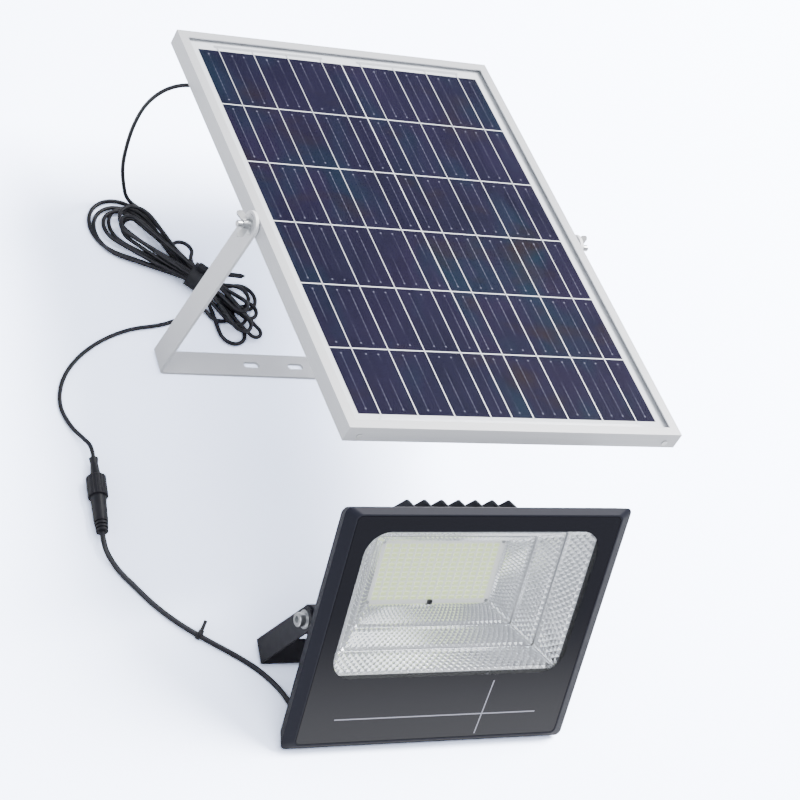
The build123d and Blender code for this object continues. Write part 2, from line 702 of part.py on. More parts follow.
with BuildPart() as battery_cells:
    for start in BATTERY_STARTS:
        with BuildSketch(side_on(LAMP, start, BATTERY_V, BATTERY_DEPTH)):
            Circle(BATTERY_RADIUS)
        extrude(amount=BATTERY_LENGTH)
        with BuildSketch(side_on(LAMP, start + BATTERY_LENGTH, BATTERY_V, BATTERY_DEPTH)):
            Circle(3)
        extrude(amount=1.2)
save(battery_cells, "battery_cells")

with BuildPart() as battery_cradle:
    with BuildSketch(at(LAMP, -42.5, BATTERY_V, BATTERY_BACK + 0.3)):
        RectangleRounded(141.4, COMPARTMENT[1] - 0.8, 1.5)
    extrude(amount=18)
    for start in BATTERY_STARTS:
        with BuildSketch(side_on(LAMP, start - 0.5, BATTERY_V, BATTERY_DEPTH)):
            Circle(BATTERY_RADIUS + BATTERY_CLEARANCE)
        extrude(amount=BATTERY_LENGTH + 2.2, mode=Mode.SUBTRACT)
save(battery_cradle, "battery_cradle")

with BuildPart() as control_board:
    with BuildSketch(at(LAMP, CONTROL_X, BATTERY_V, CONTROL_FRONT)):
        Rectangle(78, 33)
    extrude(amount=-CONTROL_THICKNESS)
save(control_board, "control_board")

with BuildPart() as control_board_parts:
    with BuildSketch(at(LAMP, CONTROL_X, BATTERY_V, CONTROL_FRONT - CONTROL_THICKNESS)):
        with Locations((-8, 2)):
            Rectangle(12, 9)
        with Locations((10, -6), (22, -6)):
            Rectangle(6, 4)
        with Locations((-22, 8)):
            Rectangle(8, 5)
    extrude(amount=-1.8)
    with BuildSketch(at(LAMP, CONTROL_X, BATTERY_V, CONTROL_FRONT - CONTROL_THICKNESS)):
        with Locations((24, 5)):
            Circle(5.5)
        with Locations((8, 6)):
            Circle(4)
    extrude(amount=-10)
    with BuildSketch(at(LAMP, CONTROL_X, BATTERY_V, CONTROL_FRONT - CONTROL_THICKNESS)):
        with Locations((-28, -7)):
            Rectangle(8, 12)
    extrude(amount=-7)
save(control_board_parts, "control_board_parts")

with BuildPart() as cover_gasket:
    with BuildSketch(at(LAMP, 0, BATTERY_V, BATTERY_BACK)):
        RectangleRounded(*COVER, 3)
        RectangleRounded(*COMPARTMENT, 2, mode=Mode.SUBTRACT)
        with GridLocations(*COVER_SCREW_PLACES, 2, 2):
            Circle(1.7, mode=Mode.SUBTRACT)
    extrude(amount=-COVER_GASKET_THICKNESS)
save(cover_gasket, "cover_gasket")

with BuildPart() as battery_cover:
    with BuildSketch(at(LAMP, 0, BATTERY_V, BATTERY_BACK - COVER_GASKET_THICKNESS)):
        RectangleRounded(*COVER, 3)
        with GridLocations(*COVER_SCREW_PLACES, 2, 2):
            Circle(1.7, mode=Mode.SUBTRACT)
    extrude(amount=-COVER_THICKNESS)
    chamfer(battery_cover.faces().sort_by(LAMP_NORMAL)[0].outer_wire().edges(), 1.2)
save(battery_cover, "battery_cover")

cover_outside = at(LAMP, 0, BATTERY_V, BATTERY_BACK - COVER_GASKET_THICKNESS - COVER_THICKNESS)
with BuildPart() as cover_screws:
    with BuildSketch(cover_outside):
        with GridLocations(*COVER_SCREW_PLACES, 2, 2):
            Circle(3)
    extrude(amount=-1.6)
    with BuildSketch(cover_outside):
        with GridLocations(*COVER_SCREW_PLACES, 2, 2):
            Circle(1.6)
    extrude(amount=14)
save(cover_screws, "cover_screws")

# ---------------------------------------------------------------- lamp gland
LAMP_GLAND_BODY = 8
LAMP_GLAND_NUT = 10
LAMP_THREAD_RADIUS = 4.8
LAMP_THREAD_LENGTH = 3
gland_face = at(LAMP, LAMP_GLAND_X, LAMP_GLAND_V, -TRAY_DEPTH)

with BuildPart() as lamp_gland_body:
    with BuildSketch(gland_face):
        RegularPolygon(8, 6)
    extrude(amount=-LAMP_GLAND_BODY)
    with BuildSketch(gland_face):
        Circle(LAMP_GLAND_HOLE - RUNNING_GAP)
    extrude(amount=TRAY_DEPTH - LOWER_POCKET_DEPTH)
    with BuildSketch(gland_face.offset(-LAMP_GLAND_BODY)):
        Circle(LAMP_THREAD_RADIUS)
    extrude(amount=-LAMP_THREAD_LENGTH)
save(lamp_gland_body, "lamp_gland_body")

with BuildPart() as lamp_gland_nut:
    with BuildSketch(gland_face.offset(-LAMP_GLAND_BODY)):
        Circle(7)
        Circle(LAMP_THREAD_RADIUS + RUNNING_GAP, mode=Mode.SUBTRACT)
    extrude(amount=-LAMP_GLAND_NUT)
    fillet(lamp_gland_nut.faces().sort_by(LAMP_NORMAL)[0].outer_wire().edges(), 1.5)
save(lamp_gland_nut, "lamp_gland_nut")

with BuildPart() as lamp_gland_seal:
    with BuildSketch(gland_face.offset(-LAMP_GLAND_BODY - LAMP_THREAD_LENGTH)):
        Circle(LAMP_THREAD_RADIUS)
    extrude(amount=LAMP_THREAD_LENGTH - LAMP_GLAND_NUT)
save(lamp_gland_seal, "lamp_gland_seal")

# ---------------------------------------------------------------- lamp bracket
LAMP_ARM_LENGTH = 92.9
LAMP_ARM_OUTSIDE = LAMP_ARM_INSIDE + LAMP_STRIP_THICKNESS
SIDE_HOLE_PLACE = 50
pivot_point = LAMP.from_local_coords((0, LAMP_PIVOT_V, LAMP_PIVOT_DEPTH))
lean = radians(LAMP_ARM_LEAN)
arm_up = Vector(0, -sin(lean), cos(lean))
bracket_plane = Plane(origin=pivot_point, x_dir=(1, 0, 0), z_dir=Vector(0, -cos(lean), -sin(lean)))
bar_plane = Plane(origin=pivot_point - arm_up * LAMP_ARM_LENGTH, x_dir=(1, 0, 0), z_dir=arm_up)
lamp_axis_plane = Plane(origin=pivot_point, x_dir=(0, 1, 0), z_dir=(1, 0, 0))

with BuildPart() as lamp_bracket:
    bar_top = LAMP_STRIP_THICKNESS - LAMP_ARM_LENGTH
    arm_top = LAMP_STRIP_WIDTH / 2
    with BuildSketch(bracket_plane):
        with BuildLine():
            outer = FilletPolyline(
                (LAMP_ARM_OUTSIDE, arm_top),
                (LAMP_ARM_OUTSIDE, -LAMP_ARM_LENGTH),
                (-LAMP_ARM_OUTSIDE, -LAMP_ARM_LENGTH),
                (-LAMP_ARM_OUTSIDE, arm_top),
                radius=6,
            )
            inner = FilletPolyline(
                (LAMP_ARM_INSIDE, arm_top),
                (LAMP_ARM_INSIDE, bar_top),
                (-LAMP_ARM_INSIDE, bar_top),
                (-LAMP_ARM_INSIDE, arm_top),
                radius=6 - LAMP_STRIP_THICKNESS,
            )
            Line(outer @ 0, inner @ 0)
            Line(outer @ 1, inner @ 1)
        make_face()
    extrude(amount=LAMP_STRIP_WIDTH / 2, both=True)
    arm_ends = lamp_bracket.edges().filter_by(Axis.X).group_by(Axis((0, 0, 0), arm_up))[-1]
    fillet(arm_ends, LAMP_STRIP_WIDTH / 2 - 0.1)
    with BuildSketch(lamp_axis_plane.offset(-200)):
        Circle(LAMP_BOLT_RADIUS + RUNNING_GAP)
    extrude(amount=400, mode=Mode.SUBTRACT)
    with BuildSketch(bar_plane):
        Circle(4.25)
        with Locations((SIDE_HOLE_PLACE, 0), (-SIDE_HOLE_PLACE, 0)):
            Circle(3.25)
    extrude(amount=LAMP_STRIP_THICKNESS, mode=Mode.SUBTRACT)
save(lamp_bracket, "lamp_bracket")

LAMP_WASHER = 1.4
LAMP_BOLT_HEAD = 7
LAMP_BOLT_TIP = 128
with BuildPart() as lamp_washers:
    for side in (1, -1):
        for start, thickness in ((LUG_OUTSIDE + 0.05, 0.5), (LAMP_ARM_OUTSIDE, LAMP_WASHER)):
            with BuildSketch(lamp_axis_plane.offset(side * start)):
                Circle(8.5)
                Circle(LAMP_BOLT_RADIUS + RUNNING_GAP, mode=Mode.SUBTRACT)
            extrude(amount=side * thickness)
save(lamp_washers, "lamp_washers")


def lamp_bolt(side):
    """A hex-socket bolt through the bracket arm into the lug; side is 1 right and -1 left."""
    under_head = LAMP_ARM_OUTSIDE + LAMP_WASHER + 0.1
    head = lamp_axis_plane.offset(side * under_head)
    with BuildPart() as bolt:
        with BuildSketch(head):
            Circle(6.5)
        extrude(amount=side * LAMP_BOLT_HEAD)
        outer_face = bolt.faces().sort_by(Axis.X)[-1 if side > 0 else 0]
        chamfer(outer_face.edges(), 0.7)
        with BuildSketch(head):
            Circle(LAMP_BOLT_RADIUS)
        extrude(amount=-side * (under_head - LAMP_BOLT_TIP))
        with BuildSketch(head.offset(side * LAMP_BOLT_HEAD)):
            RegularPolygon(3.4, 6)
        extrude(amount=-side * 4, mode=Mode.SUBTRACT)
    return bolt


save(lamp_bolt(1), "lamp_pivot_bolt_right")
save(lamp_bolt(-1), "lamp_pivot_bolt_left")

# ---------------------------------------------------------------- cables
PANEL_LEAD_ROUTE = (
    (-54, 193.9, 181.66),
    (-84, 193.9, 181.66),
    (-117, 195.2, 179.8),
    (-150, 194, 178.3),
    (-176, 195.5, 177.2),
    (-193, 195, 166),
    (-200, 197, 142),
    (-197, 200, 108),
    (-189.5, 202, 74),
    (-181, 203, 44),
    (-173, 198, 24),
    (-166, 189, 10),
)
CONNECTOR_LEAD_ROUTE = (
    (-110, 66, 3.5),
    (-130, 56.5, 2),
    (-160, 43, 2),
    (-200, 37, 2),
    (-243, 16, 2),
    (-277, -15, 2),
    (-292, -50, 2),
    (-286, -76, 2.5),
    (-277, -92, 6),
    (-272.8, -102.6, 9.4),
    CONNECTOR_TIP,
)
LAMP_CABLE_ROUTE = (
    (-141, -375.44, 7.18),
    (-141, -367.58, 2.65),
    (-146.5, -353, 2.5),
    (-160, -335, 2.5),
    (-178, -320, 2.6),
    (-200, -306.5, 3.9),
    (-228, -287, 3.9),
    (-249, -265, 2.6),
    (-264, -244, 2.5),
    (-275.5, -229, 3),
    (-284, -214, 7),
    (-286, -203.5, 9.4),
    (-284.74, -193.44, 9.4),
)


def cable(points, diameter):
    """A round cable along a polyline, with every corner rounded as widely as its runs allow."""
    points = [Vector(point) for point in points]
    radii = []
    for before, corner, after in zip(points, points[1:], points[2:]):
        arriving = corner - before
        leaving = after - corner
        half_turn = radians(arriving.get_angle(leaving)) / 2
        radii.append(0.45 * min(arriving.length, leaving.length) / tan(half_turn))
    with BuildPart() as tube:
        with BuildLine() as route:
            FilletPolyline(*points, radius=radii)
        with BuildSketch(Plane(origin=points[0], z_dir=points[1] - points[0])):
            Circle(diameter / 2)
        sweep()
    length = route.wires()[0].length
    section = pi * diameter * diameter / 4
    print("radii", [round(radius, 1) for radius in radii])
    print("length", round(length, 1), "volume ratio", round(tube.part.volume / (section * length), 4))
    return tube


save(cable(PANEL_LEAD_ROUTE, THIN_CORD), "panel_lead")
save(cable(CONNECTOR_LEAD_ROUTE, THIN_CORD), "connector_lead")
save(cable(LAMP_CABLE_ROUTE, THICK_CORD), "lamp_cable")

HANK_OUTLINE = (
    (-62, 24), (-54, 40), (-46, 56), (-52, 80), (-68, 96), (-88, 102), (-102, 112), (-108, 126),
    (-118, 142), (-122, 160), (-128, 181), (-143, 195), (-162, 199), (-186, 195), (-207, 187),
    (-217, 170), (-216, 146), (-211, 130), (-196, 120), (-181, 112), (-166, 101), (-150, 90),
    (-136, 82), (-123, 76), (-121, 60), (-121, 44), (-113, 25), (-97, 17), (-82, 19),
)
TIE_CENTRE = (-114, 96, 12.3)
TIE_AXIS = (-0.77, 0.64, 0)
TIE_LENGTH = 16
TIE_INNER = (12.2, 10.5)
TIE_WALL = 1.5
tie_plane = Plane(origin=TIE_CENTRE, x_dir=(0.64, 0.77, 0), z_dir=TIE_AXIS)

with BuildPart() as cable_hank:
    with BuildSketch(Plane.XY):
        with BuildLine():
            Polyline(*HANK_OUTLINE, close=True)
        make_face()
    extrude(amount=HANK_HEIGHT)
    top_edges = cable_hank.faces().sort_by(Axis.Z)[-1].outer_wire().edges()
    chamfer(top_edges, 3)
    with BuildSketch(tie_plane):
        Rectangle(120, 60)
        Ellipse(TIE_INNER[0] - RUNNING_GAP, TIE_INNER[1] - RUNNING_GAP, mode=Mode.SUBTRACT)
    extrude(amount=TIE_LENGTH / 2 + 0.2, both=True, mode=Mode.SUBTRACT)
save(cable_hank, "cable_hank")

with BuildPart() as hank_tie:
    with BuildSketch(tie_plane):
        Ellipse(TIE_INNER[0] + TIE_WALL, TIE_INNER[1] + TIE_WALL)
        Ellipse(TIE_INNER[0], TIE_INNER[1], mode=Mode.SUBTRACT)
    extrude(amount=TIE_LENGTH / 2, both=True)
    with BuildSketch(Plane(origin=(-114, 96, 23), x_dir=TIE_AXIS, z_dir=(0, 0, 1))):
        Rectangle(10, 7)
    extrude(amount=6)
    with BuildSketch(Plane.XY.offset(25.6)):
        with BuildLine():
            Polyline(
                (-113, 92.4), (-93, 88.5), (-73, 87.1), (-69, 89.3), (-73, 91.7), (-93, 92.9),
                (-111, 96), close=True,
            )
        make_face()
    extrude(amount=2)
save(hank_tie, "hank_tie")

# ---------------------------------------------------------------- connector
connector = Plane(origin=CONNECTOR_TIP, x_dir=(0, 0, 1), z_dir=CONNECTOR_AXIS)
BOOT_LENGTH = 20
RING_START = 20.5
RING_END = 41.5
SOCKET_END = 78.6
SHOULDER = 24.5
SHOULDER_RADIUS = 8.2
PLUG_FACE = 28
SPIGOT_END = 36
SPIGOT_RADIUS = 5
PIN_START = 32
PIN_SPREAD = 2.4
SOCKET_START = 29.6
SOCKET_BOOT = 66

PLUG_STEPS = (
    (BOOT_LENGTH, PLUG_FACE, 6),
    (SHOULDER, PLUG_FACE, SHOULDER_RADIUS),
    (PLUG_FACE, SPIGOT_END, SPIGOT_RADIUS),
)

with BuildPart() as connector_plug:
    for near, near_radius, beyond, beyond_radius in ((0, 4.3, 6, 3.5), (6, 3.5, BOOT_LENGTH, 5)):
        with BuildSketch(connector.offset(near)):
            Circle(near_radius)
        with BuildSketch(connector.offset(beyond)):
            Circle(beyond_radius)
        loft()
    for start, end, radius in PLUG_STEPS:
        with BuildSketch(connector.offset(start)):
            Circle(radius)
        extrude(amount=end - start)
    with BuildSketch(connector.offset(PIN_START)):
        with PolarLocations(PIN_SPREAD, 2):
            Circle(0.8)
    extrude(amount=SPIGOT_END - PIN_START, mode=Mode.SUBTRACT)
save(connector_plug, "connector_plug")

with BuildPart() as plug_pins:
    with BuildSketch(connector.offset(PIN_START)):
        with PolarLocations(PIN_SPREAD, 2):
            Circle(0.75)
    extrude(amount=12)
save(plug_pins, "plug_pins")

with BuildPart() as sealing_ring:
    with BuildSketch(connector.offset(PLUG_FACE + RUNNING_GAP)):
        Circle(7.4)
        Circle(SPIGOT_RADIUS + RUNNING_GAP, mode=Mode.SUBTRACT)
    extrude(amount=1.5)
save(sealing_ring, "sealing_ring")

with BuildPart() as lock_ring:
    with BuildSketch(connector.offset(RING_START)):
        Circle(9.25)
        with PolarLocations(9.6, 18):
            Circle(0.8, mode=Mode.SUBTRACT)
    extrude(amount=RING_END - RING_START)
    chamfer(lock_ring.faces().sort_by(Axis(connector.origin, connector.z_dir))[0].edges(), 0.5)
    with BuildSketch(connector.offset(RING_START)):
        Circle(6 + RUNNING_GAP)
    extrude(amount=RING_END - RING_START, mode=Mode.SUBTRACT)
    with BuildSketch(connector.offset(SHOULDER - 0.1)):
        Circle(SHOULDER_RADIUS + RUNNING_GAP)
    extrude(amount=RING_END - SHOULDER + 0.1, mode=Mode.SUBTRACT)
save(lock_ring, "lock_ring")

with BuildPart() as connector_socket:
    with BuildSketch(connector.offset(SOCKET_START)):
        Circle(SHOULDER_RADIUS)
    extrude(amount=RING_END + 0.4 - SOCKET_START)
    with BuildSketch(connector.offset(RING_END + 0.4)):
        Circle(7.25)
    with BuildSketch(connector.offset(SOCKET_BOOT)):
        Circle(6.6)
    loft()
    with BuildSketch(connector.offset(SOCKET_BOOT)):
        Circle(5)
    with BuildSketch(connector.offset(SOCKET_END)):
        Circle(4)
    loft()
    for index in range(4):
        start = SOCKET_BOOT + 3.4 * index
        with BuildSketch(connector.offset(start)):
            Circle(6.4 - (start - SOCKET_BOOT) * 0.08)
        extrude(amount=2)
    with BuildSketch(connector.offset(SOCKET_START)):
        Circle(SPIGOT_RADIUS + RUNNING_GAP)
    extrude(amount=7, mode=Mode.SUBTRACT)
    with BuildSketch(connector.offset(SOCKET_START + 7)):
        with PolarLocations(PIN_SPREAD, 2):
            Circle(0.8)
    extrude(amount=9, mode=Mode.SUBTRACT)
save(connector_socket, "connector_socket")

CLIP_PLACE = Vector(-214, -296.75, 3.9)
clip_along = Vector(-28, 19.5, 0).normalized()
clip_plane = Plane(origin=CLIP_PLACE, x_dir=(0, 0, 1), z_dir=clip_along)
with BuildPart() as cable_tie:
    with BuildSketch(clip_plane):
        Circle(3.8)
        Circle(2.55, mode=Mode.SUBTRACT)
    extrude(amount=1.8, both=True)
    with BuildSketch(at(clip_plane, 4.8, 0, 0)):
        RectangleRounded(3.4, 5, 0.6)
    extrude(amount=2.2, both=True)
    with BuildSketch(at(clip_plane, 4.8, 8, 0)):
        Rectangle(1.2, 13)
    extrude(amount=1.5, both=True)
save(cable_tie, "cable_tie")
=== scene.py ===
"""Looks of the solar flood light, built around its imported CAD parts.  Metres, +Z up."""

import math

import bpy
from mathutils import Matrix, Vector


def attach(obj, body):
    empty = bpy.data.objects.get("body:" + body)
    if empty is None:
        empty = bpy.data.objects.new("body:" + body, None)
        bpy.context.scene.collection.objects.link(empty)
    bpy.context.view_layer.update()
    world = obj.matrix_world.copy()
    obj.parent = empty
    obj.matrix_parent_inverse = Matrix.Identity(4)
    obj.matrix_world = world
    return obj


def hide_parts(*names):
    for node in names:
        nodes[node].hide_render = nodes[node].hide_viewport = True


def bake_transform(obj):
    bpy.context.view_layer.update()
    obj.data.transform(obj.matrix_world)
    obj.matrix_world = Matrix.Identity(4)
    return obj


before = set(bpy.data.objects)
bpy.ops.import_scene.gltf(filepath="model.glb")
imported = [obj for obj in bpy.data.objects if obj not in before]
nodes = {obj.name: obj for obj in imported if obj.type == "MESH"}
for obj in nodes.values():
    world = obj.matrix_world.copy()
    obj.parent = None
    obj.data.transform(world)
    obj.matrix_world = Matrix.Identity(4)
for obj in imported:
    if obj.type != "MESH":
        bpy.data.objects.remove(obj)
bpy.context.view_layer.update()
scene = bpy.context.scene

MM = 0.001
# The panel and the lamp each have a plane of their own, tilted about X, as in the part.
PANEL_ORIGIN = Vector((0, 0, 0.2175))
PANEL_TURN = math.radians(-8)
LAMP_LEAN = math.radians(30)
LAMP_RIM_DEPTH = 0.012
LAMP_FOOT_Y = -0.405
LAMP_ORIGIN = Vector((
    -0.016,
    LAMP_FOOT_Y - LAMP_RIM_DEPTH * math.cos(LAMP_LEAN),
    LAMP_RIM_DEPTH * math.sin(LAMP_LEAN),
))
LAMP_TURN = math.radians(90) - LAMP_LEAN
LAMP = Matrix.Translation(LAMP_ORIGIN) @ Matrix.Rotation(LAMP_TURN, 4, "X")

# ---------------------------------------------------------------- camera
CAMERA_PLACE = (-1.2727, -1.2701, 1.7785)
CAMERA_DEGREES = (38.67, -26.97, -18.13)
CAMERA_SENSOR = 36
CAMERA_LENS = 115.45
CAMERA_REACH = 20
camera_data = bpy.data.cameras.new("camera")
camera_data.sensor_width = CAMERA_SENSOR
camera_data.lens = CAMERA_LENS
camera_data.clip_end = CAMERA_REACH
camera = bpy.data.objects.new("camera", camera_data)
scene.collection.objects.link(camera)
camera.location = CAMERA_PLACE
camera.rotation_euler = [math.radians(degrees) for degrees in CAMERA_DEGREES]
scene.camera = camera


# ---------------------------------------------------------------- materials
class Field:
    """A value in a node tree that can be combined with ordinary arithmetic."""

    def __init__(self, tree, socket):
        self.tree = tree
        self.socket = socket

    def op(self, kind, *others, clamp=False):
        node = self.tree.nodes.new("ShaderNodeMath")
        node.operation = kind
        node.use_clamp = clamp
        for slot, value in zip(node.inputs, (self, *others)):
            if isinstance(value, Field):
                self.tree.links.new(value.socket, slot)
            else:
                slot.default_value = value
        return Field(self.tree, node.outputs[0])

    def __add__(self, other):
        return self.op("ADD", other)

    def __sub__(self, other):
        return self.op("SUBTRACT", other)

    def __mul__(self, other):
        return self.op("MULTIPLY", other)

    def __truediv__(self, other):
        return self.op("DIVIDE", other)

    def abs(self):
        return self.op("ABSOLUTE")

    def fract(self):
        return self.op("FRACT")

    def floor(self):
        return self.op("FLOOR")

    def max(self, other):
        return self.op("MAXIMUM", other)

    def min(self, other):
        return self.op("MINIMUM", other)

    def below(self, edge, soft):
        """1 where the value is under edge, falling to 0 over a soft width."""
        return ((self * -1.0 + (edge + soft / 2)) / soft).op("MULTIPLY", 1.0, clamp=True)


class Look:
    """One material: a Principled shader with procedural detail."""

    def __init__(self, name, color, roughness, metallic=0.0, coat=0.0, specular=0.5):
        self.material = bpy.data.materials.new(name)
        self.material.use_nodes = True
        self.tree = self.material.node_tree
        self.shader = self.tree.nodes["Principled BSDF"]
        self.output = self.tree.nodes["Material Output"]
        self.shader.inputs["Base Color"].default_value = (*color, 1)
        self.shader.inputs["Roughness"].default_value = roughness
        self.shader.inputs["Metallic"].default_value = metallic
        self.shader.inputs["Coat Weight"].default_value = coat
        self.shader.inputs["Coat Roughness"].default_value = 0.08
        self.shader.inputs["Specular IOR Level"].default_value = specular
        self.color = color
        self.coords = self.tree.nodes.new("ShaderNodeTexCoord").outputs["Object"]

    def link(self, source, target):
        source = source.socket if isinstance(source, Field) else source
        self.tree.links.new(source, target)

    def local(self, origin, turn):
        """Coordinates in a tilted plane: across, up the face, and out of it."""
        node = self.tree.nodes.new("ShaderNodeMapping")
        node.vector_type = "TEXTURE"
        node.inputs["Location"].default_value = origin
        node.inputs["Rotation"].default_value = (turn, 0, 0)
        self.link(self.coords, node.inputs["Vector"])
        split = self.tree.nodes.new("ShaderNodeSeparateXYZ")
        self.link(node.outputs[0], split.inputs[0])
        return [Field(self.tree, s) for s in split.outputs], node.outputs[0]

    def stretched(self, vector, scale):
        node = self.tree.nodes.new("ShaderNodeVectorMath")
        node.operation = "MULTIPLY"
        self.link(vector, node.inputs[0])
        node.inputs[1].default_value = scale
        return node.outputs[0]

    def noise(self, scale, detail=4.0, vector=None, roughness=0.55):
        node = self.tree.nodes.new("ShaderNodeTexNoise")
        node.inputs["Scale"].default_value = scale
        node.inputs["Detail"].default_value = detail
        node.inputs["Roughness"].default_value = roughness
        self.link(vector or self.coords, node.inputs["Vector"])
        return Field(self.tree, node.outputs["Fac"])

    def voronoi(self, scale, vector=None, output="Distance"):
        node = self.tree.nodes.new("ShaderNodeTexVoronoi")
        node.inputs["Scale"].default_value = scale
        self.link(vector or self.coords, node.inputs["Vector"])
        return node.outputs[output]

    def mix(self, factor, first, second):
        node = self.tree.nodes.new("ShaderNodeMix")
        node.data_type = "RGBA"
        self.link(factor, node.inputs[0])
        for value, slot in ((first, node.inputs[6]), (second, node.inputs[7])):
            if isinstance(value, tuple):
                slot.default_value = (*value, 1)
            else:
                self.link(value, slot)
        return node.outputs[2]

    def roughen(self, field, low, high):
        self.link(field * (high - low) + low, self.shader.inputs["Roughness"])
        return self

    def bump(self, field, distance, strength=1.0):
        node = self.tree.nodes.new("ShaderNodeBump")
        node.inputs["Strength"].default_value = strength
        node.inputs["Distance"].default_value = distance
        self.link(field, node.inputs["Height"])
        self.link(node.outputs[0], self.shader.inputs["Normal"])
        return self

    def blotch(self, scale, amount):
        """The colour varies a little from place to place."""
        darker = tuple(c * (1 - amount) for c in self.color)
        lighter = tuple(min(1, c * (1 + amount)) for c in self.color)
        self.link(self.mix(self.noise(scale), darker, lighter), self.shader.inputs["Base Color"])
        return self

    def on(self, *objects):
        for obj in objects:
            obj = nodes[obj] if isinstance(obj, str) else obj
            obj.data.materials.clear()
            obj.data.materials.append(self.material)
        return self


def grained(name, color, rough, metallic=0.0, grain=900, depth=0.00005, blotch=0.06, **more):
    look = Look(name, color, rough, metallic, **more)
    fine = look.noise(grain)
    look.roughen(look.noise(grain / 12), rough * 0.8, min(1, rough * 1.25))
    look.bump(fine, depth)
    look.blotch(grain / 30, blotch)
    return look


# Anodised frame: long, faint drawing lines along each rail.
def anodised(name, stretch):
    look = Look(name, (0.88, 0.89, 0.91), 0.40, 0.25)
    lines = look.noise(60, 3.0, look.stretched(look.coords, stretch))
    look.roughen(lines, 0.30, 0.44)
    look.bump(lines, 0.00002)
    look.link(look.mix(lines, (0.64, 0.65, 0.68), (0.76, 0.77, 0.79)), look.shader.inputs["Base Color"])
    return look


anodised("anodised_side_rails", (30, 0.4, 30)).on("frame_rail_left", "frame_rail_right")
anodised("anodised_end_rails", (0.4, 30, 30)).on("frame_rail_far", "frame_rail_near", "corner_keys")
steel = grained("zinc_plated_steel", (0.66, 0.67, 0.68), 0.30, 0.95, grain=1400, depth=0.00002)
steel.on(
    "corner_screws", "lid_screws", "panel_pivot_bolts", "panel_washers", "wing_nut_left", "wing_nut_right",
    "led_board_screws", "cover_screws", "lamp_washers", "lamp_pivot_bolt_left", "lamp_pivot_bolt_right",
)
strip_metal = grained("strip_metal", (0.95, 0.955, 0.98), 0.45, grain=500, depth=0.00003, blotch=0.03)
strip_metal.on("panel_bracket")
dark_strip = grained("dark_strip", (0.030, 0.030, 0.038), 0.48, 0.1, grain=1500, specular=0.35)
dark_strip.on("lamp_bracket")
cast = grained("powder_coat", (0.012, 0.013, 0.023), 0.45, grain=1800, depth=0.00006, specular=0.3)
cast.on("lamp_housing", "battery_cover")
plastic = grained("black_plastic", (0.013, 0.013, 0.018), 0.38, grain=1300, depth=0.00003, specular=0.45)
plastic.on(
    "junction_box", "junction_box_lid", "blocking_diode", "panel_gland_body", "panel_gland_nut",
    "infrared_receiver", "battery_cradle", "control_board_parts", "lamp_gland_body", "lamp_gland_nut",
    "hank_tie", "connector_plug", "lock_ring", "connector_socket", "cable_tie",
)
rubber = grained("seal_rubber", (0.010, 0.010, 0.010), 0.65, grain=1100, specular=0.3)
rubber.on("panel_gland_seal", "glass_gasket", "cover_gasket", "lamp_gland_seal", "sealing_ring")
grained("brass", (0.72, 0.56, 0.28), 0.3, 0.9).on("terminal_block", "plug_pins")
grained("cell_wrap", (0.05, 0.22, 0.42), 0.3).on("battery_cells")
grained("green_board", (0.02, 0.13, 0.06), 0.35, coat=0.4).on("control_board")
grained("white_sheet", (0.86, 0.87, 0.90), 0.5, grain=700).on("backsheet")
ribbon = grained("tinned_ribbon", (0.84, 0.85, 0.88), 0.34, 0.6, grain=2500, depth=0.00002)
ribbon.on("cell_ribbons")
cord_look = grained("cord_rubber", (0.012, 0.012, 0.017), 0.38, grain=2000, depth=0.00003, specular=0.5)


CELL_WIDTH = 158
CELL_PITCH = 77
BUSBAR_PITCH = 37.6
SEAM_PITCH = BUSBAR_PITCH / 3
SEAM_WIDTH = 0.6
SEAM_HALF_LENGTH = 33.0
DOT_PLACE = 32.0
DASH_PITCH = 5.4
FINGER_PITCH = 1.9


def stripe(field, pitch, width, shift=0.0):
    """1 on thin lines that repeat at a pitch, in millimetres; a line passes at half a pitch."""
    return ((field / pitch + shift).fract() - 0.5).abs().below(width / pitch / 2, width / pitch / 2)


